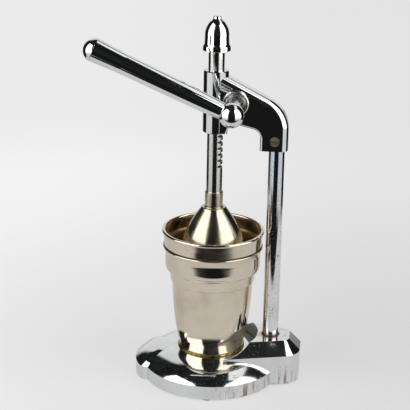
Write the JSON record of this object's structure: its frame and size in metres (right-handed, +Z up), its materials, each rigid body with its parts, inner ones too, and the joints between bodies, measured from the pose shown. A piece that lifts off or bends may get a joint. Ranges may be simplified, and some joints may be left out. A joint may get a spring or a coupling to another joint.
{
  "type": "lever citrus press",
  "caption": "Free-standing chromed bar press: a lever and pinion drive a toothed rod and bell down into a strainer, funnel ring and cup on a domed base.",
  "frame": {"origin": "on the shared axis of cup and rod, at the table top", "axes": "+Z up, +X from the cup to the column, -Y towards the user and the lever"},
  "size_m": [0.1865, 0.1228, 0.3286],
  "materials": {
    "chrome_casting": "polished, pitted",
    "chrome_bar": "polished",
    "nickel_shell": "worn polish",
    "brass": "dull",
    "steel": "plain",
    "rubber": "matt"
  },
  "bodies": {
    "stand": {"base_casting": "chrome_casting", "rubber_feet": "rubber", "foot_screws": "steel", "column": "chrome_bar", "column_washer": "steel", "column_nut": "steel", "head_casting": "chrome_casting", "column_set_screw": "brass", "front_bush": "chrome_bar", "rear_cover": "chrome_bar", "drag_pad": "brass", "drag_spring": "steel", "drag_screw": "brass"},
    "lever": {"pinion_shaft": "chrome_bar", "lever_ball": "chrome_bar", "lever_bar": "chrome_bar", "lever_end_cap": "chrome_bar", "hub_grub_screw": "steel"},
    "ram": {"rack_rod": "chrome_bar", "rod_cap": "chrome_bar", "presser_bell": "nickel_shell", "presser_collar": "nickel_shell", "presser_washer": "steel", "presser_nut": "steel"},
    "cup": {"cup": "nickel_shell", "cup_foot_ring": "brass"},
    "funnel": {"funnel_ring": "nickel_shell"},
    "strainer": {"strainer": "nickel_shell"}
  },
  "joints": [
    {"name": "lever_turn", "type": "hinge", "parent": "stand", "child": "lever", "pos_m": [0.01837, 0, 0.2563], "axis": [0, 1, 0], "range_deg": [-71.9, 216]},
    {"name": "ram_slide", "type": "slide", "parent": "stand", "child": "ram", "axis": [0, 0, 1], "range_m": [-0.0165, 0.0495]},
    {"name": "cup_lift", "type": "slide", "parent": "stand", "child": "cup", "axis": [0, 0, 1], "range_m": [0, 0.0035]},
    {"name": "funnel_lift", "type": "slide", "parent": "cup", "child": "funnel", "axis": [0, 0, 1], "range_m": [0, 0.0035]},
    {"name": "strainer_lift", "type": "slide", "parent": "funnel", "child": "strainer", "axis": [0, 0, 1], "range_m": [0, 0.0035]}
  ],
  "couplings": [
    {"joint": "ram_slide", "follows": "lever_turn", "m_per_rad": 0.013125}
  ]
}
